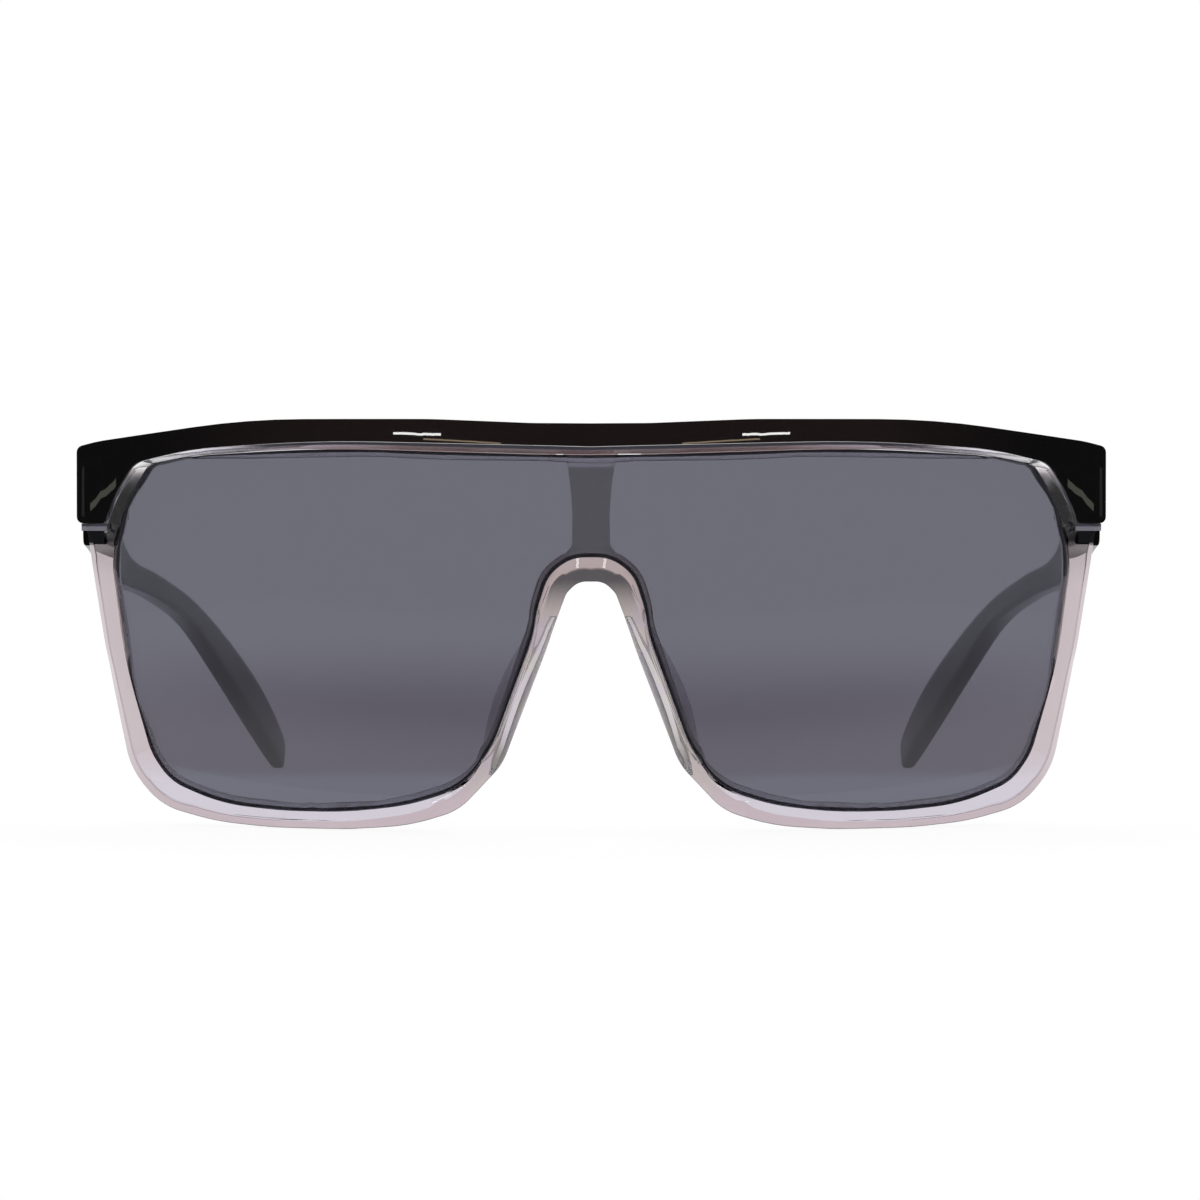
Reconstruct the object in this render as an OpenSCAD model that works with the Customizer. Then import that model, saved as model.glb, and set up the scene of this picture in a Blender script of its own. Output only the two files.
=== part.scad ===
// Flat-top shield sunglasses, open, standing on the rims and the temple tips.
// X runs to the wearer's left, -Y is the way the lens faces and Z is up.
// Outlines are corner lists in the front view, given as [x, z, fillet radius].

/* [Front] */
// Width of the front over its end pieces
front_w = 147.2; // [140:0.2:156]
// Height of the front, from the rim feet to the brow
front_h = 57; // [53:0.5:61]
// Depth of the front from its face to its back
front_t = 5; // [4.4:0.1:6]
// Radius of the front's wrap around the face
wrap_r = 130; // [115:1:180]
// Width of the rim beside the lens
side_rim_w = 2.5; // [2.3:0.1:3.4]
// Height of the rim under the lens
foot_rim_h = 2.4; // [2.1:0.1:3.2]
// Height of the clear bevel between the brow and the lens
brow_bevel_h = 1; // [0.8:0.1:2.2]
// Share of the rim's height that the chamfer along its foot takes
foot_chamfer = 0.45; // [0.3:0.01:0.6]
// Share of the rim's width that the chamfer down its sides takes
side_chamfer = 0.25; // [0.15:0.01:0.5]
// Radius of the rim's edges
rim_round = 0.35; // [0.2:0.05:0.4]

/* [Brow and end pieces] */
// Height of the brow bar over the bridge
brow_h = 3.2; // [2.6:0.1:4]
// How far the brow bar stands proud of the clear rim
brow_proud = 0.5; // [0.2:0.1:1]
// Dip of the brow's top edge over the bridge
brow_dip = 0.7; // [0:0.1:2]
// Fall of the brow's top edge towards the end pieces
brow_fall = 3.5; // [2:0.1:6]
// Height of an end piece
end_h = 10.9; // [10:0.1:12]
// Length of an end piece behind the corner of the front
end_l = 5.3; // [5:0.1:6]
// Thickness of the wall of an end piece
end_t = 4.25; // [4:0.05:4.6]
// Thickness of the clear shelf under an end piece
shelf_t = 1.1; // [0.6:0.1:1.4]

/* [Lens] */
// Thickness of the lens
lens_t = 2; // [1.6:0.1:2.2]
// Depth of the lens face behind the face of the rim
lens_sink = 1; // [0.6:0.1:1.4]
// Running gap between the lens and its seat
lens_gap = 0.1; // [0.05:0.05:0.2]
// Width of the bevel along the front edge of the lens
lens_bevel = 0.45; // [0.3:0.05:0.6]
// Width of the ledge that the lens seats on
ledge_w = 1.2; // [0.8:0.1:1.4]

/* [Nose] */
// Height of the nose arch over the rim feet
nose_h = 34.5; // [31:0.1:37]
// Width of the nose gap where it starts under the arch
nose_top_w = 5.2; // [4.4:0.1:7]
// Width of the nose gap where its sides would meet the ground
nose_foot_w = 32; // [28:0.2:35]
// Height of the arch's own web
arch_h = 3.4; // [2.9:0.1:4.4]
// Width of the centre post at its waist
post_w = 5.1; // [4:0.1:6.4]
// Width of the centre post where it meets the brow
post_top_w = 9.6; // [8:0.1:10]
// Width of the centre post where it meets the arch
post_foot_w = 7.6; // [7:0.1:8.4]
// Reach of a nose pad behind the front
pad_reach = 6.5; // [4:0.1:8]
// Thickness of a nose pad
pad_t = 2; // [1.6:0.1:2.6]

/* [Temples] */
// Length of a temple from its butt to its tip, measured along Y
temple_l = 119; // [108:1:130]
// Height of a temple at its butt
butt_h = 13; // [11.6:0.1:14]
// Height of a temple at its waist
waist_h = 4.1; // [3.8:0.1:6]
// Height of a temple at its tip
tip_h = 8.6; // [6:0.1:11]
// Thickness of a temple at its butt
butt_t = 3.9; // [3.6:0.1:4.6]
// Thickness of a temple behind its waist
temple_t = 3.1; // [2.6:0.1:4]
// How far the tip comes in towards the head
tip_inset = 17; // [8:0.5:20]
// Gap between an end piece and the temple behind it
butt_gap = 0.2; // [0.15:0.05:0.4]
// How far the temple's outer face lies inside the end piece's
butt_step = 0.1; // [0:0.05:0.3]

/* [Hinges] */
// Height of the hinge barrel
hinge_h = 6; // [5:0.1:6.6]
// Height of the barrel's middle over the foot of the end piece
hinge_rise = 3.5; // [3.4:0.1:4.4]
// Radius of the hinge barrel
barrel_r = 1.5; // [1.3:0.05:1.7]
// Radius of the hinge screw
screw_r = 0.7; // [0.5:0.05:0.8]
// Clearance of the screw in the front leaf
front_fit = 0.02; // [0.01:0.01:0.05]
// Clearance of the screw in the temple leaf
temple_fit = 0.05; // [0.03:0.01:0.08]
// Gap between two knuckles
knuckle_gap = 0.1; // [0.05:0.05:0.2]
// Thickness of a hinge leaf
leaf_t = 0.9; // [0.7:0.05:1.1]
// Gap around a leaf in its pocket
leaf_gap = 0.05; // [0.03:0.01:0.1]
// Length of the tongue on the temple leaf
tongue_l = 8; // [7:0.1:9]
// Height of the tongue on the temple leaf
tongue_h = 3.8; // [3.2:0.1:4.2]
// Radius of a leaf screw
leaf_screw_r = 0.5; // [0.4:0.05:0.6]
// Distance between the two leaf screws
leaf_screw_pitch = 3.9; // [3.4:0.1:4.2]

/* [Hidden] */
half_w = front_w / 2;
end_z = front_h - brow_fall - end_h;
brow_low = front_h - brow_dip - brow_h;
lens_top = brow_low - brow_bevel_h;
arch_top = nose_h + arch_h;
seat_d = lens_sink + lens_t + lens_gap;
butt_y = wrap_y(half_w, 0) + end_l;
temple_y = butt_y + butt_gap;
end_inner_x = half_w - end_t;
temple_x = half_w - butt_step - butt_t;
barrel_gap = 0.25;
hinge_x = temple_x - barrel_r - barrel_gap;
hinge_y = butt_y + butt_gap / 2;
hinge_z = end_z + hinge_rise;
knuckle_h = (hinge_h - 4 * knuckle_gap) / 5;
leaf_z0 = hinge_z - hinge_h / 2;
tongue_slope = 26;
// Facets in each corner of the rim's and the lens's outlines, the same for both
rim_facets = [7, 5, 2, 2, 6, 7, 4, 3, 3, 6, 8, 7, 3, 3, 2, 2, 4, 8, 4, 5, 1];
// Pieces of each straight stretch between two corners of the rim
edge_steps = [1, 1, 1, 2, 3, 1, 2, 2, 2, 2, 2, 1, 3, 3, 2, 2, 1, 2, 2, 4, 4, 2];
// Facets in a corner of the brow or the post, and in a rounded edge of the rim
arc_steps = 4;
round_steps = 2;

// Half the width of the nose gap at a height
function leg_x(z) = mix(nose_foot_w, nose_top_w, z / nose_h) / 2;

// Corners from the nose arch down, round the rim and up to the bridge
rim_corners = [
    [0.335 * nose_top_w, nose_h, 3],
    [leg_x(0.955 * nose_h) + 0.15, 0.955 * nose_h, 2.5],
    [leg_x(0.83 * nose_h) + 0.1, 0.83 * nose_h, 60],
    [leg_x(0.726 * nose_h) - 0.1, 0.726 * nose_h, 60],
    [leg_x(0.267 * nose_h) - 0.2, 0.267 * nose_h, 9],
    [leg_x(0) + 2.3, 2.75, 9],
    [leg_x(0) + 9.3, 0.6, 30],
    [0.46 * half_w, 0, 60],
    [0.605 * half_w, 0, 60],
    [0.72 * half_w, 0.62, 40],
    [half_w - 12.4, 2.65, 10],
    [half_w - 7.95, 7.85, 11],
    [half_w - 4.3, 0.575 * end_z, 80],
    [half_w - 2.1, 0.87 * end_z, 60],
    [half_w - 1.3, end_z, 0.5],
    [half_w - 4.3, end_z, 0.5],
    [half_w - 5.8, end_z + 4, 20],
    [half_w - 8.9, brow_low - 1.9, 4],
    [0.768 * half_w, brow_low - 0.1, 50],
    [0.515 * half_w, brow_low + 0.95, 200],
    [0.11 * half_w, brow_low + 0.2, 60]
];
rim_start = [0, nose_h];
rim_end = [0, brow_low];
lens_corners = [
    [0.5 * nose_top_w, arch_top, 5.5],
    [leg_x(0.93 * nose_h) + 2.35, arch_top - 0.068 * nose_h, 5.5],
    [leg_x(0.83 * nose_h) + 2.6, 0.887 * nose_h, 12],
    [leg_x(0.726 * nose_h) + 1.75, 0.782 * nose_h, 30],
    [leg_x(0.267 * nose_h) + 1.15, 0.348 * nose_h, 14],
    [leg_x(0) + 2, foot_rim_h + 3.5, 10],
    [leg_x(0) + 9.3, foot_rim_h + 1.15, 30],
    [0.46 * half_w, foot_rim_h + 0.05, 60],
    [0.585 * half_w, foot_rim_h + 0.05, 60],
    [0.706 * half_w, foot_rim_h + 0.8, 40],
    [half_w - 11.6 - side_rim_w, foot_rim_h + 3.7, 8],
    [half_w - 8.7 - side_rim_w, foot_rim_h + 7.6, 10],
    [half_w - 4.85 - side_rim_w, 0.53 * end_z, 60],
    [half_w - 2.85 - side_rim_w, 0.857 * end_z, 12],
    [half_w - 3.25 - side_rim_w, end_z - 2.3, 8],
    [half_w - 4.1 - side_rim_w, end_z + 0.75, 12],
    [half_w - 5.8 - side_rim_w, end_z + 4.45, 20],
    [half_w - 8.45 - side_rim_w, lens_top - 1.1, 2.5],
    [0.76 * half_w, lens_top + 0.05, 30],
    [0.515 * half_w, lens_top + 1.05, 200],
    [0.11 * half_w, lens_top + 0.05, 60]
];
lens_start = [0, arch_top];
lens_end = [0, lens_top];
brow_corners = [
    [0.11 * half_w, front_h - brow_dip + 0.05, 60],
    [0.3 * half_w, front_h - 0.05, 100],
    [0.65 * half_w, front_h + 0.1, 120],
    [half_w - 3.2, front_h - brow_fall + 0.75, 25],
    [half_w, front_h - brow_fall, 1],
    [half_w, end_z, 0.9]
];
brow_steps = [2, 3, 4, 3, 1, 1, 1];
// Share of the rim's width that its outer chamfer takes, by corner number from 1
chamfer_share = [[0, 0.5], [1, 0.55], [2, 0.72], [3, 0.84], [6, 0.84], [7, 0.55],
                 [8, foot_chamfer], [10, foot_chamfer], [11, 0.34],
                 [12.5, side_chamfer], [14.4, side_chamfer], [14.8, 0.05], [22, 0.05]];

function unit(v) = v / norm(v);
function mix(a, b, t) = a + (b - a) * t;
function flat(list) = [for (part = list) each part];
function wrap_y(x, depth) = wrap_r - sqrt(pow(wrap_r - depth, 2) - x * x);
function on_wrap(p, depth) = [p.x, wrap_y(p.x, depth), p.y];

// Fillet between the edges a-b and b-c in n facets, held within half of each edge
function fillet(a, b, c, r, n) =
    let (u = unit(a - b), v = unit(c - b), half = acos(u * v) / 2)
    let (reach = min(r / tan(half), 0.48 * min(norm(a - b), norm(c - b))))
    let (centre = b + unit(u + v) * reach / cos(half), w = 180 - 2 * half)
    let (from = b + u * reach - centre, to = b + v * reach - centre)
    [for (i = [0:n]) centre + (from * sin(w - w * i / n) + to * sin(w * i / n)) / sin(w)];

// Rounded path from start to end through the corners, with the count of pieces
// of each straight stretch and of facets in each corner. The first stretch goes
// on behind its start, so the first fillet may take up nearly all of it.
function rounded(start, corners, end, steps, facets) =
    let (n = len(corners), places = [for (c = corners) [c.x, c.y]])
    let (spine = concat([2 * start - places[0]], places, [end]))
    let (arcs = [for (k = [0:n - 1])
        fillet(spine[k], spine[k + 1], spine[k + 2], corners[k].z, facets[k])])
    let (starts = concat([start], [for (a = arcs) a[len(a) - 1]]))
    let (ends = concat([for (a = arcs) a[0]], [end]))
    flat([for (k = [0:n]) concat(
        [for (j = [(k == 0 ? 0 : 1):steps[k] - 1]) mix(starts[k], ends[k], j / steps[k])],
        k == n ? [end] : arcs[k])]);

// Corner number, from 1, of each point that rounded() returns
function marks(count, steps, facets) = flat([for (k = [0:count]) concat(
    [for (j = [(k == 0 ? 0 : 1):steps[k] - 1]) k + 0.2 + 0.6 * j / steps[k]],
    k == count ? [k + 0.8] : [for (i = [0:facets[k]]) k + 0.8 + 0.4 * i / facets[k]])]);

// Whole loop from a half path that starts and ends on the middle plane
function mirrored(half) = concat(half, [for (i = [len(half) - 2:-1:1]) [-half[i].x, half[i].y]]);
function mirrored_marks(half) = concat(half, [for (i = [len(half) - 2:-1:1]) half[i]]);

rim_half = rounded(rim_start, rim_corners, rim_end, edge_steps, rim_facets);
lens_half = rounded(lens_start, lens_corners, lens_end, edge_steps, rim_facets);
rim_loop = mirrored(rim_half);
lens_loop = mirrored(lens_half);
rim_marks = marks(len(rim_corners), edge_steps, rim_facets);
loop_marks = mirrored_marks(rim_marks);
brow_first = [for (i = [0:len(rim_half) - 1]) if (rim_marks[i] >= 15.8) i][0];

// Section of the clear rim at point i, in distance from its outer edge and depth:
// rounded back corner, chamfer with two soft edges, lens pocket, ledge, back corner
function rim_section(i) =
    let (o = rim_loop[i], l = lens_loop[i], wide = norm(l - o), u = (l - o) / wide)
    let (c = wide * lookup(loop_marks[i], chamfer_share), fall = min(0.7 * c, 1.4) + 0.1)
    let (back = min(0.6, 0.25 * wide), inner = wide + ledge_w, lip = 0.85 * lens_sink)
    let (outer_back = fillet([wide, front_t], [0, front_t], [0, fall], back, round_steps))
    let (outer_edge = fillet([0, front_t], [0, fall], [c, 0], rim_round, round_steps))
    let (crease = fillet([0, fall], [c, 0], [wide, lip], rim_round, round_steps))
    let (pocket = [[wide, lip], [wide, seat_d], [inner, seat_d]])
    let (inner_back = fillet([inner, seat_d], [inner, front_t], [0, front_t], back, round_steps))
    [for (p = concat(outer_back, outer_edge, crease, pocket, inner_back)) on_wrap(o + u * p.x, p.y)];

// Closed tube of rings, as a torus or with both ends capped
module loft(rings, closed) {
    m = len(rings[0]);
    n = len(rings);
    walls = [for (i = [0:n - (closed ? 1 : 2)], k = [0:m - 1])
        let (a = i * m + k, b = i * m + (k + 1) % m)
        let (c = (i + 1) % n * m + k, d = (i + 1) % n * m + (k + 1) % m)
        each [[a, c, b], [b, c, d]]];
    caps = closed ? [] : [[for (k = [0:m - 1]) k], [for (k = [m - 1:-1:0]) (n - 1) * m + k]];
    polyhedron(flat(rings), concat(walls, caps), convexity = 6);
}

// Prism along Y over an outline in the front view
module prism(outline, y0, y1) {
    translate([0, y1, 0]) rotate([90, 0, 0]) linear_extrude(y1 - y0) polygon(outline);
}

// Upright cylinder about the wrap axis, at a depth behind the face
module wrap_cylinder(depth) {
    translate([0, wrap_r, -10]) cylinder(r = wrap_r - depth, h = front_h + 20, $fn = 360);
}

module centre_post() {
    path = [
        [post_top_w / 2, lens_top, 0.2],
        [post_w / 2 + 0.8, lens_top - 0.8, 0.8],
        [post_w / 2 + 0.35, lens_top - 3.9, 10],
        [post_w / 2, arch_top + 5.9, 20],
        [post_w / 2 + 0.1, arch_top + 1.6, 1],
        [post_foot_w / 2, arch_top + 0.2, 0.2]
    ];
    side = rounded([post_top_w / 2, lens_top + 0.5 * brow_bevel_h], path,
                   [post_foot_w / 2, nose_h + 0.6 * arch_h],
                   [1, 1, 1, 1, 1, 1, 1], [for (p = path) arc_steps]);
    prism(concat(side, [for (i = [len(side) - 1:-1:0]) [-side[i].x, side[i].y]]),
          seat_d + 0.1, front_t - 0.15);
}

// Nose pad on the left rim, as upright blades behind the leg of the nose gap
module nose_pad() {
    rings = [for (i = [0:10])
        let (t = i / 10, z = mix(8.5, nose_h - 4.5, t), x = leg_x(z) + 0.45)
        let (base = wrap_y(x, front_t) - 0.8, w = pad_t * mix(0.6, 1, sin(180 * t)))
        let (reach = 0.4 + pad_reach * pow(sin(180 * mix(0.06, 0.94, t)), 0.7), lean = 0.32 * reach)
        [[x, base, z], [x + w + 0.4, base, z], [x + w + 0.3, base + 0.9, z],
         [x + lean + w, base + 0.3 + 0.75 * reach, z], [x + lean + 0.75 * w, base + 0.8 + reach, z],
         [x + lean + 0.35 * w, base + 0.8 + reach, z], [x + 0.8 * lean, base + 0.3 + 0.75 * reach, z],
         [x + 0.1, base + 0.9, z]]];
    loft(rings, false);
}

module end_shelf() {
    intersection() {
        wrap_cylinder(0.2);
        translate([half_w - end_t - 0.8, 0, end_z - shelf_t]) cube([end_t + 0.2, butt_y, shelf_t - 0.01]);
    }
}

module front_frame() {
    color("rosybrown") {
        loft([for (i = [len(rim_loop) - 1:-1:0]) rim_section(i)], true);
        centre_post();
        for (side = [0, 1]) mirror([side, 0, 0]) {
            nose_pad();
            end_shelf();
        }
    }
}

module brow_bar() {
    top = rounded([0, front_h - brow_dip], brow_corners, rim_half[brow_first], brow_steps,
                  [for (c = brow_corners) arc_steps]);
    under = [for (i = [brow_first + 1:len(rim_half) - 1]) rim_half[i]];
    outline = mirrored(concat(top, under));
    color([0.03, 0.03, 0.035]) difference() {
        intersection() {
            prism(outline, -5, butt_y);
            wrap_cylinder(-brow_proud);
        }
        intersection() {
            wrap_cylinder(front_t);
            translate([-end_inner_x, 0, 0]) cube([2 * end_inner_x, butt_y + 10, front_h + 5]);
        }
        for (side = [0, 1]) mirror([side, 0, 0]) leaf_plate(leaf_gap);
    }
}

module shield_lens() {
    count = len(lens_loop);
    inward = [for (i = [0:count - 1]) unit(lens_loop[i] - rim_loop[i])];
    edge = [for (i = [0:count - 1]) lens_loop[i] + inward[i] * lens_gap];
    over = 0.3;
    bevel = [[-over, lens_sink + lens_bevel + over], [lens_bevel + over, lens_sink - over],
             [-over, lens_sink - over]];
    color([0.3, 0.3, 0.34, 0.8]) difference() {
        intersection() {
            prism(edge, -5, butt_y);
            wrap_cylinder(lens_sink);
        }
        wrap_cylinder(lens_sink + lens_t);
        loft([for (i = [0:count - 1]) [for (p = bevel) on_wrap(edge[i] + inward[i] * p.x, p.y)]], true);
    }
}

// Plate of the front leaf in the end piece, grown by a gap for its pocket
module leaf_plate(gap) {
    reach = 5.2;
    open = gap > 0 ? 1 : 0;
    translate([end_inner_x - open, butt_y - reach - gap, leaf_z0 - gap])
        cube([leaf_t + gap + open, reach + gap + (gap > 0 ? open : -0.05), hinge_h + 2 * gap]);
}

// Knuckles of one leaf on the hinge axis, with the web that carries them
module knuckles(numbers, x_end, behind) {
    for (k = numbers) translate([0, 0, leaf_z0 + k * (knuckle_h + knuckle_gap)]) {
        translate([hinge_x, hinge_y, 0]) cylinder(r = barrel_r, h = knuckle_h, $fn = 48);
        translate([hinge_x, hinge_y + (behind ? 0.2 : -barrel_r), 0])
            cube([x_end - hinge_x, barrel_r - 0.2, knuckle_h]);
    }
}

module hinge_bore(fit) {
    translate([hinge_x, hinge_y, leaf_z0 - 1]) cylinder(r = screw_r + fit, h = hinge_h + 2, $fn = 48);
}

module front_leaf() {
    color("silver") difference() {
        union() {
            knuckles([0, 2, 4], end_inner_x + leaf_t / 2, false);
            leaf_plate(0);
        }
        hinge_bore(front_fit);
    }
}

// Places of the leaf screws on the inner face of the temple
function leaf_screw(i) =
    [temple_x, hinge_y + barrel_r + 1.2 + i * leaf_screw_pitch * cos(tongue_slope),
     hinge_z - 1.4 - i * leaf_screw_pitch * sin(tongue_slope)];

// Plate of the temple leaf, grown by a gap for its recess
module tongue_plate(gap) {
    deep = leaf_t + gap;
    proud = gap > 0 ? 2 : 0;
    lug_h = hinge_h - 2 * (knuckle_h - gap);
    translate([temple_x - proud, temple_y + (gap > 0 ? -1 : 0.1), hinge_z - lug_h / 2])
        cube([deep + proud, barrel_r + 1 + gap + (gap > 0 ? 1.1 : 0), lug_h]);
    straight = tongue_l - tongue_h / 2 - 2;
    translate([temple_x - proud, leaf_screw(0).y, leaf_screw(0).z]) rotate([-tongue_slope, 0, 0]) {
        translate([0, 0, -tongue_h / 2 - gap]) cube([deep + proud, straight, tongue_h + 2 * gap]);
        for (y = [0, straight]) translate([0, y, 0]) rotate([0, 90, 0])
            cylinder(r = tongue_h / 2 + gap, h = deep + proud, $fn = 48);
    }
}

module leaf_screw_holes(r, depth) {
    for (i = [0, 1]) translate(leaf_screw(i) - [1, 0, 0]) rotate([0, 90, 0])
        cylinder(r = r, h = depth + 1, $fn = 32);
}

module temple_leaf() {
    color("silver") difference() {
        union() {
            knuckles([1, 3], temple_x + leaf_t, true);
            tongue_plate(0);
        }
        hinge_bore(temple_fit);
        leaf_screw_holes(leaf_screw_r + 0.05, 3);
    }
}

module leaf_screws() {
    color("gray") for (i = [0, 1]) translate(leaf_screw(i)) rotate([0, 90, 0]) {
        cylinder(r = leaf_screw_r, h = 2.9, $fn = 32);
        difference() {
            translate([0, 0, -0.45]) cylinder(r = 0.95, h = 0.45, $fn = 32);
            translate([-1, -0.12, -0.5]) cube([2, 0.24, 0.25]);
        }
    }
}

module hinge_screw() {
    color("gray") translate([hinge_x, hinge_y, leaf_z0 - 0.2]) difference() {
        union() {
            cylinder(r = screw_r, h = hinge_h + 0.5, $fn = 48);
            translate([0, 0, hinge_h + 0.25]) cylinder(r = 1.25, h = 0.7, $fn = 48);
        }
        translate([-2, -0.15, hinge_h + 0.65]) cube([4, 0.3, 1]);
    }
}

// Keys of the temple from butt to tip: its shares of the length, of the inset
// and of the butt's height over the ground, then height, thickness and roundness
butt_mid = end_z + butt_h / 4;
temple_keys = [
    [0, 0, 1, butt_h, butt_t, 0.12],
    [0.065, 0.006, 0.954, 0.94 * butt_h, butt_t, 0.16],
    [0.135, 0.024, 0.825, 0.615 * butt_h, mix(butt_t, temple_t, 0.5), 0.3],
    [0.22, 0.075, 0.766, 1.13 * waist_h, temple_t, 0.4],
    [0.38, 0.18, 0.714, waist_h, temple_t, 0.45],
    [0.6, 0.34, 0.609, 1.13 * waist_h, temple_t, 0.45],
    [0.77, 0.56, 0.432, 0.85 * tip_h, temple_t, 0.45],
    [0.9, 0.8, 0.236, tip_h, temple_t, 0.45],
    [0.985, 0.98, 0.07, 0.75 * tip_h, 0.8 * temple_t, 0.45],
    [1, 1, 0.035, 0.3 * tip_h, 0.35 * temple_t, 0.5]
];

// Smooth curve through the keys, t running from 0 to 1 over them all
function key(i) = temple_keys[max(0, min(len(temple_keys) - 1, i))];
function along(t) =
    let (n = len(temple_keys) - 1, s = min(t * n, n - 0.0001), i = floor(s), f = s - i)
    let (a = key(i - 1), b = key(i), c = key(i + 1), d = key(i + 2))
    let (m0 = (c - a) * (c[0] - b[0]) / (c[0] - a[0]), m1 = (d - b) * (c[0] - b[0]) / (d[0] - b[0]))
    b * (2 * pow(f, 3) - 3 * f * f + 1) + m0 * (pow(f, 3) - 2 * f * f + f)
        + c * (3 * f * f - 2 * pow(f, 3)) + m1 * (pow(f, 3) - f * f);

temple_steps = 45;
function temple_section(i) =
    let (t = i / temple_steps, k = along(t))
    let (ahead = along(min(1, t + 0.01)), behind = along(max(0, t - 0.01)))
    let (slope = atan((ahead[2] - behind[2]) * butt_mid / (temple_l * (ahead[0] - behind[0]))))
    let (tilt = slope * min(1, max(0, 4 * t - 0.6)))
    [for (j = [0:15]) let (a = -11.25 - 22.5 * j, c = cos(a), s = sin(a))
        let (dx = sign(c) * pow(abs(c), k[5]) * k[4] / 2)
        let (dz = sign(s) * pow(abs(s), k[5] + 0.05) * k[3] / 2)
        [half_w - butt_step - butt_t / 2 - k[1] * tip_inset + dx,
         temple_y + k[0] * temple_l - dz * sin(tilt),
         k[2] * butt_mid + dz * cos(tilt)]];

temple_rings = [for (i = [0:temple_steps]) temple_section(i)];
temple_low = min([for (p = flat(temple_rings)) p.z]);
temple_back = max([for (p = flat(temple_rings)) p.y]);

module temple() {
    rings = [for (i = [0:temple_steps]) let (w = pow(max(0, i / temple_steps - 0.5) * 2, 2))
        [for (p = temple_rings[i]) [p.x, p.y, p.z - temple_low * w]]];
    color([0.03, 0.03, 0.035]) difference() {
        loft(rings, false);
        tongue_plate(leaf_gap);
        leaf_screw_holes(leaf_screw_r + 0.02, 3);
    }
}

// The origin lies under the middle of the open pair; right-hand pieces are mirrored
module place(side) {
    translate([0, (brow_proud - temple_back) / 2, 0]) mirror([side, 0, 0]) children();
}

place(0) front_frame();
place(0) brow_bar();
place(0) shield_lens();
place(0) temple();  // left_temple
place(1) temple();  // right_temple
place(0) front_leaf();  // left_front_leaf
place(1) front_leaf();  // right_front_leaf
place(0) temple_leaf();  // left_temple_leaf
place(1) temple_leaf();  // right_temple_leaf
place(0) hinge_screw();  // left_hinge_screw
place(1) hinge_screw();  // right_hinge_screw
place(0) leaf_screws();  // left_leaf_screws
place(1) leaf_screws();  // right_leaf_screws
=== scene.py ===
import math

import bpy
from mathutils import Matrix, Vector
from mathutils.kdtree import KDTree


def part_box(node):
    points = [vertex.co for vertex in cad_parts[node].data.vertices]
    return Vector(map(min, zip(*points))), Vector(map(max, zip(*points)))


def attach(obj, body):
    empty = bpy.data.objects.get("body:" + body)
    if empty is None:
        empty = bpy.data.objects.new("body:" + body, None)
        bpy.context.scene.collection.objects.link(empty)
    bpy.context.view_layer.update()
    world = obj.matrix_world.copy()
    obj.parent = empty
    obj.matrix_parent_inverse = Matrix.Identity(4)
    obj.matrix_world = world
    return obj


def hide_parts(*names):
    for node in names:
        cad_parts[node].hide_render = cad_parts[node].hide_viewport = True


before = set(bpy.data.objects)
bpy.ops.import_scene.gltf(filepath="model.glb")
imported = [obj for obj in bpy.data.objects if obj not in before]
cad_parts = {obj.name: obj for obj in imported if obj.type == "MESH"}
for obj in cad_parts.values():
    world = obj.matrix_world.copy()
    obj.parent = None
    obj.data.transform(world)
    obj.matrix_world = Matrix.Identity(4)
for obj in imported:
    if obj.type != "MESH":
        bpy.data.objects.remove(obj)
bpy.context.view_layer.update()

# Camera: a long lens about 550 mm in front of the bridge, level with the lower part
# of the end pieces and tilted a little down, so that both rims stand square to the
# picture.
MM = 0.001
brow_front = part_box("brow_bar")[0].y
camera_place = (1.24 * MM, brow_front - 549.5 * MM, 42.3 * MM)
camera_tilt = 1.07
camera_data = bpy.data.cameras.new("camera")
camera_data.lens = 120
camera_data.sensor_width = 36
camera_data.clip_start = 0.01
camera = bpy.data.objects.new("camera", camera_data)
camera.location = camera_place
camera.rotation_euler = (math.radians(90 - camera_tilt), 0, 0)
bpy.context.scene.collection.objects.link(camera)
bpy.context.scene.camera = camera
bpy.context.scene.view_settings.view_transform = "Standard"

# Studio: a white room. What looks at it straight, in a reflection or through clear
# plastic sees plain white, and it lights the piece at a plain level.
white = (1, 1, 1, 1)
room_light = 0.62


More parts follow.
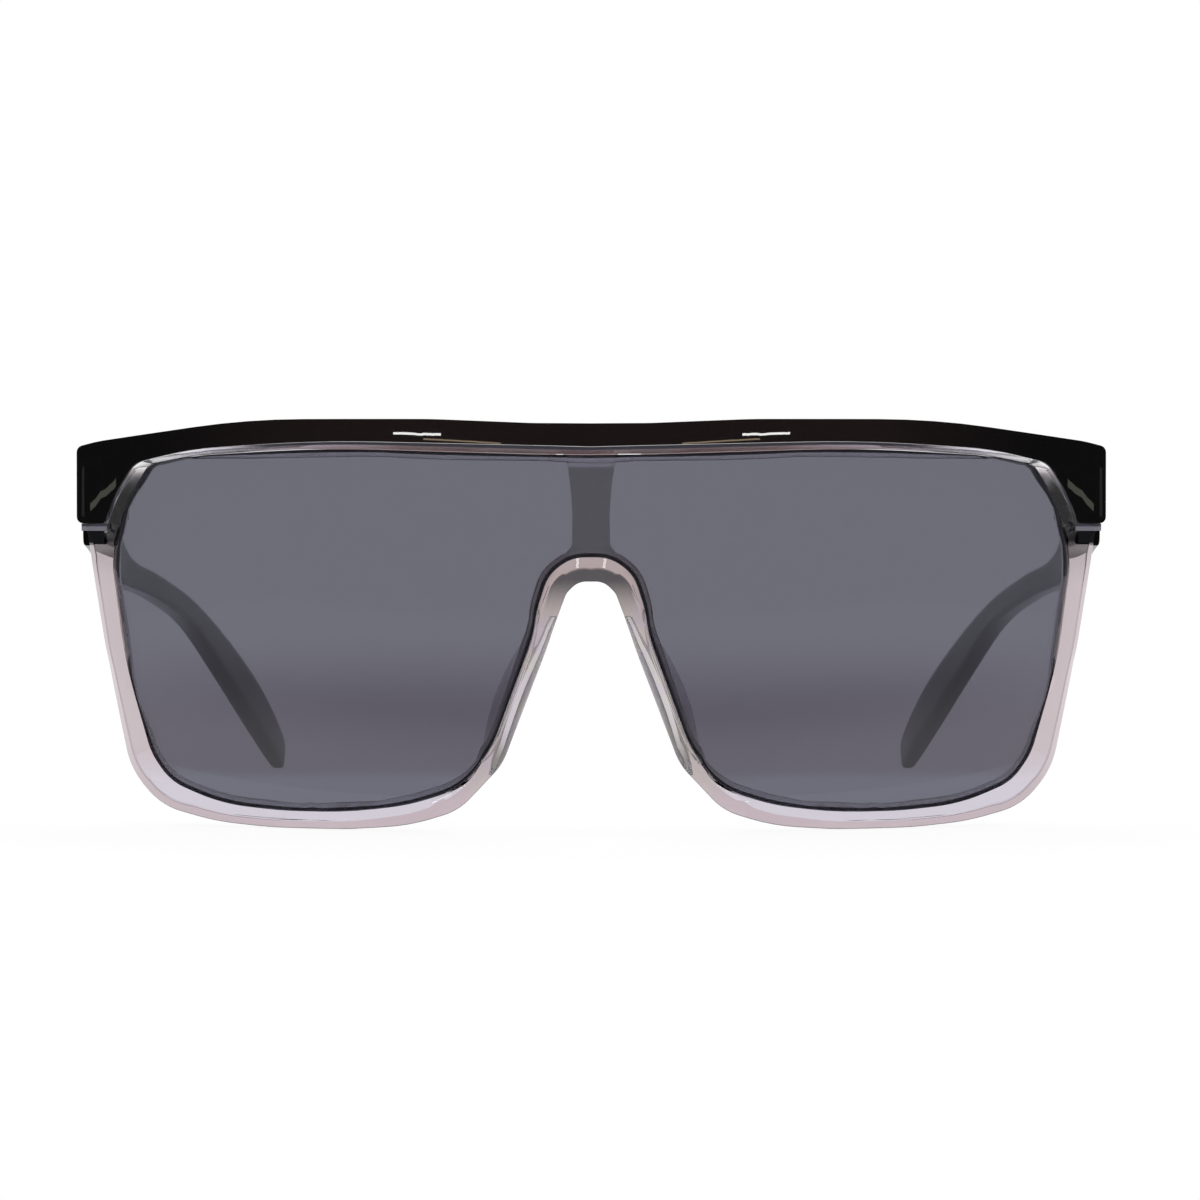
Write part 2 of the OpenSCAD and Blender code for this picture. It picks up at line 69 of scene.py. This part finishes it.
# Wraps the output of a shader node, so that shader maths reads as plain arithmetic
class Signal:
    def __init__(self, tree, socket=None):
        self.tree = tree
        self.socket = socket

    # Any other node: its type, its settings, which output to take, and the values
    # or links of its sockets, by name or by number as _0, _1
    def node(self, kind, settings=None, output=0, **inputs):
        made = self.tree.nodes.new(kind)
        for name, value in (settings or {}).items():
            if name != "stops":
                setattr(made, name, value)
                continue
            ramp = made.color_ramp
            while len(ramp.elements) < len(value):
                ramp.elements.new(0.5)
            for element, (place, colour) in zip(ramp.elements, value):
                element.position = place
                element.color = colour
        for name, value in inputs.items():
            key = int(name[1:]) if name[0] == "_" else name.replace("_", " ")
            if isinstance(value, Signal):
                self.tree.links.new(value.socket, made.inputs[key])
            else:
                made.inputs[key].default_value = value
        return Signal(self.tree, made.outputs[output])

    def maths(self, operation, a, b):
        return self.node("ShaderNodeMath", {"operation": operation}, _0=a, _1=b)

    def __add__(self, other):
        return self.maths("ADD", self, other)

    def __radd__(self, other):
        return self.maths("ADD", other, self)

    def __sub__(self, other):
        return self.maths("SUBTRACT", self, other)

    def __rsub__(self, other):
        return self.maths("SUBTRACT", other, self)

    def __mul__(self, other):
        return self.maths("MULTIPLY", self, other)

    def __rmul__(self, other):
        return self.maths("MULTIPLY", other, self)

    def __abs__(self):
        return self.maths("ABSOLUTE", self, 0)

    # Blends two colours by this signal, 0 for the first and 1 for the second
    def between(self, first, second):
        return self.node("ShaderNodeMix", {"data_type": "RGBA"}, output=2,
                         _0=self, _6=first, _7=second)

    # A smooth step from 0 to 1 as this signal goes from low to high
    def rise(self, low, high):
        return self.node("ShaderNodeMapRange", {"interpolation_type": "SMOOTHSTEP"},
                         _0=self, _1=low, _2=high)

    # The same step along a length, between two marks in millimetres
    def past(self, low, high):
        return self.rise(low * MM, high * MM)


def feed(shader, socket, signal):
    signal.tree.links.new(signal.socket, shader.inputs[socket])


# 1 for what is seen, straight or in gloss or clear plastic, and 0 for what is lit
def seen_or_lit(tree):
    straight, glossy, through = (
        Signal(tree).node("ShaderNodeLightPath", output=ray)
        for ray in ("Is Camera Ray", "Is Glossy Ray", "Is Transmission Ray"))
    return straight.node("ShaderNodeClamp", Value=straight + glossy + through)


room = bpy.data.worlds.new("white room")
room.use_nodes = True
backdrop = room.node_tree.nodes["Background"]
backdrop.inputs["Color"].default_value = white
feed(backdrop, "Strength", seen_or_lit(room.node_tree) * (1 - room_light) + room_light)
bpy.context.scene.world = room


# Table: a sheet of white paper that the piece stands on. It is seen as plain white,
# but near the piece it keeps a faint trace of the contact shadow.
def new_finish(name, **values):
    material = bpy.data.materials.new(name)
    material.use_nodes = True
    shader = material.node_tree.nodes["Principled BSDF"]
    for key, value in values.items():
        shader.inputs[key.replace("_", " ")].default_value = value
    place = Signal(material.node_tree).node("ShaderNodeTexCoord", output="Object")
    return material, shader, place


# Shows a second shader over the first by an amount from 0 to 1
def lay_over(first, second, amount):
    tree = first.id_data
    both = tree.nodes.new("ShaderNodeMixShader")
    if isinstance(amount, Signal):
        tree.links.new(amount.socket, both.inputs[0])
    else:
        both.inputs[0].default_value = amount
    tree.links.new(first.outputs[0], both.inputs[1])
    tree.links.new(second.outputs[0], both.inputs[2])
    tree.links.new(both.outputs[0], tree.nodes["Material Output"].inputs["Surface"])


bpy.ops.object.select_all(action="DESELECT")
bpy.ops.mesh.primitive_plane_add(size=4, location=(0, 0, -0.1 * MM))
table = bpy.context.object
table.name = "table"
table_white, table_paper, table_place = new_finish(
    "white sheet", Base_Color=(0.9, 0.9, 0.9, 1), Roughness=0.9)
table_glow = table_white.node_tree.nodes.new("ShaderNodeEmission")
table_far = table_place.node(
    "ShaderNodeVectorMath", {"operation": "LENGTH"}, output="Value", _0=table_place)
shadow_kept = 0.07
table_shown = table_far.past(150, 450) * shadow_kept + (1 - shadow_kept)
lay_over(table_paper, table_glow, seen_or_lit(table_white.node_tree) * table_shown)
table.data.materials.append(table_white)


# Black cards round the piece, which only reflections and refractions see. They keep
# gloss black dark and draw the dark edges of clear plastic.
def glowing(name, colour, strength):
    material = bpy.data.materials.new(name)
    material.use_nodes = True
    nodes = material.node_tree.nodes
    glow = nodes.new("ShaderNodeEmission")
    glow.inputs["Color"].default_value = colour
    glow.inputs["Strength"].default_value = strength
    material.node_tree.links.new(glow.outputs[0], nodes["Material Output"].inputs["Surface"])
    return material


def card(name, material, place, turn, size):
    bpy.ops.object.select_all(action="DESELECT")
    bpy.ops.mesh.primitive_plane_add(
        size=1, location=place, rotation=[math.radians(angle) for angle in turn])
    sheet = bpy.context.object
    sheet.name = name
    sheet.scale = (size[0], size[1], 1)
    sheet.data.materials.append(material)
    sheet.visible_camera = False
    sheet.visible_diffuse = False
    sheet.visible_shadow = False
    return sheet


card_level = 0.03
black_card = glowing("black card", white, card_level)
card("card_front", black_card, (0, -1.3, 0.8), (90, 0, 0), (2.6, 1.6))
card("card_back", black_card, (0, 1.3, 1.2), (90, 0, 0), (2.6, 1.2))
card("card_left", black_card, (1.3, 0, 0.8), (90, 0, 90), (2.6, 1.6))
card("card_right", black_card, (-1.3, 0, 0.8), (90, 0, 90), (2.6, 1.6))
card("card_top", black_card, (0, 0, 1.6), (0, 0, 0), (2.6, 2.6))

# Dark cloth over the far part of the table in front, paler near the piece, so that
# the foot of the lens mirrors the sheet and the rest of it doesn't. It doesn't show
# through clear plastic.
cloth = glowing("dark cloth", white, card_level)
cloth_place = Signal(cloth.node_tree).node("ShaderNodeNewGeometry", output="Position")
cloth_depth = cloth_place.node("ShaderNodeSeparateXYZ", output="Y", Vector=cloth_place)
cloth_glow = cloth_depth.past(-420, -160) * 0.7 + card_level
feed(cloth.node_tree.nodes["Emission"], "Strength", cloth_glow)
cloth_sheet = card("card_table", cloth, (0, -0.7, 0.001), (0, 0, 0), (2.6, 1.16))
cloth_sheet.visible_transmission = False

# Slits of light, which gloss black mirrors as thin streaks. Each has its distance in
# millimetres and its bearing in degrees from the brow, its height, length and width
# in millimetres, its tilt in degrees, its strength and its colour.
for hand in (-1, 1):
    for name, reach, bearing, height, length, width, tilt, strength, colour in (
        ("slit_brow", 150, 32.5, 58.07, 23, 0.4, -0.5, 22, (1, 0.99, 0.97, 1)),
        ("slit_bridge", 150, 24.1, 56.84, 38, 0.26, -1.1, 5, (1, 0.78, 0.52, 1)),
        ("slit_end", 1200, 73.4, 55.2, 94, 3.2, 6.7, 1.2, (1, 1, 0.84, 1)),
        ("slit_corner", 1200, 76.9, 56, 10, 22, 0, 0.3, white),
    ):
        angle = math.radians(bearing)
        spot = (hand * reach * math.sin(angle) * MM,
                brow_front - reach * math.cos(angle) * MM, height * MM)
        card(name, glowing(name, colour, strength), spot,
             (90, tilt * hand, hand * bearing), (length * MM, width * MM))

# A small window at each side, high up in front, which the slopes of the nose arch
# mirror as an upright glint.
window_bearing, window_rise, window_reach = 17, 52, 0.65
for hand in (-1, 1):
    angle = math.radians(window_bearing)
    towards = Vector((hand * math.sin(angle), -math.cos(angle),
                      math.tan(math.radians(window_rise))))
    card("slit_arch", glowing("arch window", (1, 0.99, 0.97, 1), 8),
         window_reach * towards, (38, 0, hand * window_bearing), (0.06, 0.16))

# Softboxes: one high at each side and a larger one behind, all turned to the piece.
# They light it evenly, and neither the camera nor clear plastic shows them.
for name, place, size, power in (
    ("left softbox", (0.8, 0.2, 0.8), 0.4, 5),
    ("right softbox", (-0.8, 0.2, 0.8), 0.4, 5),
    ("back softbox", (0, 0.7, 0.8), 0.6, 4),
):
    lamp_data = bpy.data.lights.new(name, "AREA")
    lamp_data.size = size
    lamp_data.energy = power
    lamp = bpy.data.objects.new(name, lamp_data)
    lamp.location = place
    lamp.rotation_euler = (-Vector(place)).to_track_quat("-Z", "Y").to_euler()
    lamp.visible_camera = False
    lamp.visible_transmission = False
    bpy.context.scene.collection.objects.link(lamp)

# Clear rim: one moulding of see-through plastic that holds the lens, with the nose
# arch, nose pads and centre post. It is pale rose, painted dark beside and below the
# end pieces as painted shade where the black parts behind would show through, and the
# band below the brow bar is painted dark as shade under the bar, with a painted
# highlight at each corner.
wrap_radius = 130 * MM
wrap_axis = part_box("front_frame")[0].y + wrap_radius


# A moulding stands for its node: a merged copy, drawn in by `shrink` to keep off its
# neighbours, changed by `reshape` where one is given, rounded and smoothly shaded
def moulding(node, smooth_below, edge_round=0, shrink=0, reshape=None):
    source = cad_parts[node]
    bpy.ops.object.select_all(action="DESELECT")
    piece = source.copy()
    piece.data = source.data.copy()
    piece.name = node + "_moulding"
    piece.parent = None
    bpy.context.scene.collection.objects.link(piece)
    bpy.context.view_layer.objects.active = piece
    piece.select_set(True)
    bpy.ops.mesh.customdata_custom_splitnormals_clear()
    bpy.ops.object.mode_set(mode="EDIT")
    bpy.ops.mesh.select_all(action="SELECT")
    bpy.ops.mesh.remove_doubles(threshold=0.01 * MM)
    if shrink:
        bpy.ops.transform.shrink_fatten(value=-shrink)
    bpy.ops.object.mode_set(mode="OBJECT")
    if reshape:
        reshape(piece)
    if edge_round:
        rounding = piece.modifiers.new("mould edge", "BEVEL")
        rounding.width = edge_round
        rounding.segments = 3
        rounding.limit_method = "ANGLE"
        rounding.angle_limit = math.radians(32)
        bpy.ops.object.modifier_apply(modifier=rounding.name)
    bpy.ops.object.shade_smooth_by_angle(angle=math.radians(smooth_below))
    shading = piece.modifiers.new("even shading", "WEIGHTED_NORMAL")
    shading.keep_sharp = True
    bpy.ops.object.modifier_apply(modifier=shading.name)
    piece.data.materials.clear()
    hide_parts(node)
    return piece


# Rounds the upright edges of the centre post, where it stands free
def soften_post(piece):
    post_reach, post_foot, post_top = 5 * MM, 38.3 * MM, 51.7 * MM
    bpy.ops.object.mode_set(mode="EDIT")
    bpy.ops.mesh.select_mode(type="EDGE")
    bpy.ops.mesh.select_all(action="DESELECT")
    bpy.ops.object.mode_set(mode="OBJECT")
    mesh = piece.data
    sides = {}
    for face in mesh.polygons:
        for key in face.edge_keys:
            sides.setdefault(key, []).append(face.normal.copy())
    for edge in mesh.edges:
        ends = [mesh.vertices[number].co for number in edge.vertices]
        normals = sides[edge.key]
        corner = len(normals) == 2 and normals[0].dot(normals[1]) < 0.5
        free = all(abs(end.x) < post_reach and post_foot < end.z < post_top for end in ends)
        edge.select = corner and free and abs(ends[0].z - ends[1].z) > 0.02 * MM
    bpy.ops.object.mode_set(mode="EDIT")
    bpy.ops.mesh.bevel(offset=0.14 * MM, segments=3)
    bpy.ops.mesh.select_mode(type="VERT")
    bpy.ops.object.mode_set(mode="OBJECT")


# Takes out a crossed nick, half a millimetre wide, that the source's outline of the
# lens ledge has near each upper outer corner, and rounds the post
def clean_rim(piece):
    nick_near, nick_far = 55 * MM, 55.9 * MM
    nick_foot, nick_top = 51.05 * MM, 51.5 * MM
    nick_depth = 3 * MM
    for point in piece.data.vertices:
        spot = point.co
        reach = math.hypot(spot.x, spot.y - wrap_axis)
        nicked = nick_near < abs(spot.x) < nick_far and nick_foot < spot.z < nick_top
        if nicked and reach < wrap_radius - nick_depth:
            uncrossed = 55.40 * MM if abs(spot.x) > 55.5 * MM else 55.51 * MM
            spot.x = math.copysign(uncrossed, spot.x)
            spot.y = wrap_axis - math.sqrt(reach * reach - uncrossed * uncrossed)
            spot.z = 51.668 * MM + (spot.z - 51.15 * MM) * 0.45
    soften_post(piece)


# Marks each point or face of a piece with a number, which its finish reads by name
def mark(piece, name, domain, values):
    marks = piece.data.attributes.new(name, "FLOAT", domain)
    marks.data.foreach_set("value", values)


clear_rim = moulding("front_frame", smooth_below=50, shrink=0.03 * MM, reshape=clean_rim)
lens_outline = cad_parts["shield_lens"].data.vertices
lens_near = KDTree(len(lens_outline))
for number, point in enumerate(lens_outline):
    lens_near.insert((point.co.x, 0, point.co.z), number)
lens_near.balance()

# Its marks: each point's depth under the front face, the chamfers that fall away
# from the lens, the wall of the lens's pocket, and the groove at the wall's foot
pocket_mouth, pocket_floor, groove_depth = 0.95 * MM, 2.95 * MM, 2.9 * MM
depths = [wrap_radius - math.hypot(point.co.x, point.co.y - wrap_axis)
          for point in clear_rim.data.vertices]
grooves = [0.0] * len(depths)
chamfers = []
pockets = []
for face in clear_rim.data.polygons:
    flat_centre = Vector((face.center.x, 0, face.center.z))
    to_lens = (lens_near.find(flat_centre)[0] - flat_centre).normalized()
    falls_away = face.normal.y < -0.1 and face.normal.dot(to_lens) < -0.15
    chamfers.append(float(falls_away))
    from_axis = Vector((face.center.x, face.center.y - wrap_axis, 0))
    sunk = pocket_mouth < wrap_radius - from_axis.length < pocket_floor
    square_in = abs(face.normal.dot(from_axis.normalized())) < 0.5
    walls_lens = sunk and square_in and face.normal.dot(to_lens) > 0
    pockets.append(float(walls_lens))
    for number in face.vertices:
        if walls_lens and depths[number] > groove_depth:
            grooves[number] = 1.0
mark(clear_rim, "depth", "POINT", depths)
mark(clear_rim, "groove", "POINT", grooves)
mark(clear_rim, "chamfer", "FACE", chamfers)
mark(clear_rim, "pocket", "FACE", pockets)


def ripple(shader, height, depth):
    bump = height.node("ShaderNodeBump", Height=height, Strength=1.0, Distance=depth)
    feed(shader, "Normal", bump)


# Lays coats over a colour in turn, each given as where it lies and its own colour
def coated(colour, *coats):
    for where, coat in coats:
        colour = where.between(colour, coat)
    return colour


rim_clear, rim_shader, rim_place = new_finish(
    "clear rose plastic", IOR=1.49, Transmission_Weight=1.0)
rim_side = abs(rim_place.node("ShaderNodeSeparateXYZ", output="X", Vector=rim_place))
rim_height = rim_place.node("ShaderNodeSeparateXYZ", output="Z", Vector=rim_place)
rim_cloud = rim_place.node("ShaderNodeTexNoise", Vector=rim_place, Scale=160.0, Detail=2.0)
rim_tints = rim_place.node("ShaderNodeTexNoise", Vector=rim_place, Scale=330.0, Detail=1.0)
rim_depth, rim_gap_shade, rim_chamfer, rim_pocket_shade = (
    rim_place.node("ShaderNodeAttribute", {"attribute_name": name}, output="Fac")
    for name in ("depth", "groove", "chamfer", "pocket"))

# The parts of the rim, each 1 inside and 0 outside: first those told by their depth
rim_crease_shade = 1 - rim_depth.past(0.03, 0.12)
rim_brow_shade = 1 - rim_depth.past(0.30, 0.42)
rim_ledge = rim_depth.past(2.95, 3.0)
rim_pads = rim_depth.past(5.05, 5.3)
rim_gap_shade = rim_gap_shade.rise(0.85, 0.9)

# Then those told by their height and by how far out they lie
rim_band = rim_height.past(50.1, 50.6)
rim_corner = rim_side.past(57, 60)
rim_end_piece_shade = rim_corner * rim_height.past(39.6, 40.2) * (1 - rim_height.past(48.8, 50.5))
rim_corner_shade = rim_corner * rim_height.past(33, 40)
rim_block_shade = rim_height.past(39.7, 39.9) * rim_side.past(69.3, 69.6)
rim_shelf = rim_height.past(41.5, 41.6) * (1 - rim_height.past(42.5, 42.6))
rim_shelf = rim_shelf * rim_side.past(68.9, 69.1) * 0.95
rim_foot = 1 - rim_height.past(4, 12)
rim_nose = (1 - rim_side.past(16, 24)) * rim_height.past(3, 9)
rim_arch = (1 - rim_side.past(5.5, 8.5)) * rim_height.past(21, 31)
rim_arch_chamfer_shade = rim_arch * rim_height.past(27.5, 35) * rim_chamfer
rim_post = (1 - rim_side.past(5.2, 5.6)) * rim_height.past(37.8, 38.4)
rim_ledge_top = rim_ledge * rim_height.past(46.5, 48) * (1 - rim_post)

# Its tint, where it stands clear of the brow bar, with painted light and shade laid over it
# Near black, used as painted shade
painted_shade_black = (0.004, 0.004, 0.006, 1)
rim_leg = rim_tints.rise(0.35, 0.65).between(
    (0.465, 0.395, 0.455, 1), (0.49, 0.44, 0.405, 1))
rim_tint_and_painted_light = coated(
    rim_cloud.between((0.66, 0.575, 0.60, 1), (0.60, 0.525, 0.55, 1)),
    # painted light on the foot's face and painted shade on its chamfer, by which way they turn
    (rim_foot * (1 - rim_chamfer), (0.70, 0.655, 0.735, 1)),
    (rim_foot * rim_chamfer, (0.42, 0.31, 0.325, 1)),
    (rim_nose, rim_leg),
    (rim_arch * (1 - rim_chamfer), (0.46, 0.38, 0.385, 1)),
    # painted shade: the nose arch's downturned chamfer, nearly black
    (rim_arch_chamfer_shade, rim_tints.between(painted_shade_black, (0.012, 0.012, 0.014, 1))),
    # painted shade below each end piece, where the black temple behind would show through
    (rim_corner_shade, (0.50, 0.44, 0.46, 1)),
    # painted shade along the crease, dark red at the nose arch
    (rim_crease_shade * 0.6, (0.25, 0.20, 0.21, 1)),
    (rim_crease_shade * rim_arch, (0.05, 0.015, 0.012, 1)),
    (rim_post, (0.51, 0.50, 0.48, 1)),
    # painted shade in the gap round the lens
    (rim_gap_shade, painted_shade_black))

# The band under the brow bar: painted nearly black in the middle as shade under the bar,
# then smoke, and white at the corner as a painted highlight, with the ramp's stops as
# shares of the half width
per_half_width = 13.6
band_shade_and_highlight_ramp = rim_side.node("ShaderNodeValToRGB", {"stops": (
    (0, (0.014, 0.007, 0.008, 1)),
    (0.2, (0.016, 0.008, 0.009, 1)),
    (0.36, (0.035, 0.019, 0.020, 1)),
    (0.6, (0.18, 0.13, 0.16, 1)),
    (0.74, (0.65, 0.62, 0.74, 1)),
    (0.85, white))}, Fac=rim_side * per_half_width)
band_shade_and_highlight = coated(
    band_shade_and_highlight_ramp,
    # painted shade under the brow, a painted highlight on the ledge, painted shade in the gap
    (rim_brow_shade * (1 - rim_side.past(44, 54)), (0.004, 0.004, 0.008, 1)),
    (rim_ledge, (0.95, 0.92, 0.95, 1)),
    (rim_gap_shade * (1 - rim_side.past(36, 44)), (0.14, 0.08, 0.08, 1)))

# Painted shade beside each end piece, mottled, where the black behind would show through
rim_end_piece_shade_tone = rim_cloud.rise(0.45, 0.65).between(
    (0.055, 0.052, 0.066, 1), (0.24, 0.235, 0.25, 1))
feed(rim_shader, "Base Color", coated(
    rim_tint_and_painted_light,
    (rim_band, band_shade_and_highlight),
    # painted shade on the wall of the lens's pocket
    (rim_pocket_shade, painted_shade_black),
    (rim_pads, (0.88, 0.86, 0.89, 1)),
    # painted shade beside the end pieces
    (rim_end_piece_shade, rim_end_piece_shade_tone)))
rim_frosted = rim_pads + rim_ledge_top * (1 - rim_pads)
feed(rim_shader, "Roughness", rim_frosted * 0.4 + rim_cloud * 0.01)
ripple(rim_shader, rim_cloud, 0.01 * MM)

# Painted patches that don't shine: under each end piece a near-black block, painted
# shade where the black temple butt would show through, with a strip across it painted
# grey as a highlight below and darker as shade above; and the seam under the brow
# bar, painted dark as shade over the sheen of its edge
rim_seam_shade = rim_band * rim_brow_shade * (1 - rim_side.past(42, 52))
rim_strip_light_and_shade = rim_height.past(42.1, 42.2).between(
    (0.205, 0.20, 0.235, 1), (0.065, 0.063, 0.08, 1))
rim_painted_patch = rim_clear.node_tree.nodes.new("ShaderNodeBsdfPrincipled")
rim_painted_patch.inputs["Roughness"].default_value = 0.3
rim_painted_patch.inputs["Specular IOR Level"].default_value = 0
feed(rim_painted_patch, "Base Color", coated(
    rim_shelf.rise(0, 0.1).between((0.010, 0.0105, 0.012, 1), rim_strip_light_and_shade),
    (rim_seam_shade, (0.045, 0.043, 0.055, 1))))
lay_over(rim_shader, rim_painted_patch, rim_block_shade + rim_shelf + rim_seam_shade * 0.85)
clear_rim.data.materials.append(rim_clear)
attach(clear_rim, "front")

# Shield lens: 2 mm of smoke grey plastic, polished and curved round the face. It
# lies in the rim's pocket, against the ledge, and its ground edge is painted near
# black as painted shade of the edge and the gap round it.
lens_radius = 129 * MM
lens_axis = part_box("shield_lens")[0].y + lens_radius
lens_squareness = 0.9


# Gives the faces of a piece that follow the wrap the exact normals of their
# cylinder, and returns how squarely each face lies on it
def follow_wrap(piece, axis_y, least):
    mesh = piece.data
    normals = [corner.vector.copy() for corner in mesh.corner_normals]
    squareness = []
    for face in mesh.polygons:
        outward = Vector((face.center.x, face.center.y - axis_y, 0)).normalized()
        facing = face.normal.dot(outward)
        squareness.append(abs(facing))
        if abs(facing) > least:
            for loop, corner in zip(face.loop_indices, face.vertices):
                spot = mesh.vertices[corner].co
                radial = Vector((spot.x, spot.y - axis_y, 0)).normalized()
                normals[loop] = radial * math.copysign(1, facing)
    mesh.normals_split_custom_set(normals)
    return squareness


lens = moulding("shield_lens", smooth_below=30)
lens_square = follow_wrap(lens, lens_axis, lens_squareness)
mark(lens, "ground_edge", "FACE", [float(square <= lens_squareness) for square in lens_square])

lens_smoke, lens_shader, lens_place = new_finish(
    "smoke grey lens", IOR=1.5, Transmission_Weight=1.0)
lens_edge = lens_place.node(
    "ShaderNodeAttribute", {"attribute_name": "ground_edge"}, output="Fac")
lens_cloud = lens_place.node("ShaderNodeTexNoise", Vector=lens_place, Scale=25.0, Detail=1.0)
lens_height = lens_place.node("ShaderNodeSeparateXYZ", output="Z", Vector=lens_place)
lens_height = lens_height + lens_cloud * (2 * MM)
# Painted shade and light: darker from 16 mm down, lighter below 9 mm, backdrop seen through
lens_painted_shade = 1 - lens_height.past(16, 29)
lens_painted_light = 1 - lens_height.past(7.5, 9.5)
feed(lens_shader, "Base Color", coated(
    lens_painted_shade.between((0.165, 0.165, 0.203, 1), (0.108, 0.100, 0.130, 1)),
    (lens_painted_light, (0.128, 0.132, 0.172, 1)),
    # painted shade at the ground edge
    (lens_edge, (0.003, 0.003, 0.004, 1))))
feed(lens_shader, "Roughness", lens_cloud.rise(0.6, 0.8) * 0.01 + lens_edge * 0.25)
ripple(lens_shader, lens_cloud, 0.002 * MM)

# A trace of haze in its polish
lens_haze = lens_smoke.node_tree.nodes.new("ShaderNodeBsdfPrincipled")
lens_haze.inputs["Base Color"].default_value = (0.36, 0.36, 0.42, 1)
lens_haze.inputs["Roughness"].default_value = 0.6
lay_over(lens_shader, lens_haze, 0.06)
lens.data.materials.append(lens_smoke)
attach(lens, "front")

# Brow bar: gloss black moulding that caps the rim, with an end piece at each side
# that wraps back to the hinge. Its black is warmer in the middle than at the ends.
brow_radius = 130.5 * MM
brow_squareness = 0.995
brow = moulding("brow_bar", smooth_below=32, edge_round=0.05 * MM)
follow_wrap(brow, brow_front + brow_radius, brow_squareness)

black_gloss, black_shader, black_place = new_finish("gloss black plastic", IOR=1.5)
black_wave = black_place.node("ShaderNodeTexNoise", Vector=black_place, Scale=60.0, Detail=3.0)
black_side = abs(black_place.node("ShaderNodeSeparateXYZ", output="X", Vector=black_place))
feed(black_shader, "Base Color", coated(
    black_wave.between((0.010, 0.0068, 0.0068, 1), (0.015, 0.0098, 0.0098, 1)),
    (black_side.past(35, 66), (0.0034, 0.0034, 0.0036, 1))))
feed(black_shader, "Roughness", black_wave * 0.015)
ripple(black_shader, black_wave, 0.0004 * MM)
brow.data.materials.append(black_gloss)
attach(brow, "front")

# Hinges: at each side two stainless leaves with interleaved knuckles, one moulded
# into the end piece and one screwed to the temple, with a slotted screw as the pin.
# They are the source's own solids, so only their finish is made here.
steel, steel_shader, steel_place = new_finish("stainless steel", Metallic=1.0)
steel_grain = steel_place.node("ShaderNodeTexNoise", Vector=steel_place, Scale=900.0, Detail=4.0)
feed(steel_shader, "Base Color", steel_grain.between((0.5, 0.5, 0.52, 1), (0.68, 0.68, 0.7, 1)))
feed(steel_shader, "Roughness", steel_grain * 0.2 + 0.2)
ripple(steel_shader, steel_grain, 0.01 * MM)
for name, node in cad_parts.items():
    if "leaf" in name or "screw" in name:
        node.data.materials.clear()
        node.data.materials.append(steel)

# Temples: arms of the same gloss black plastic, thick at the butt, thin behind it
# and broad again at the tip that hooks down behind the ear.
for side in ("left", "right"):
    temple = moulding(side + "_temple", smooth_below=40)
    temple.data.materials.append(black_gloss)
    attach(temple, side + "_arm")
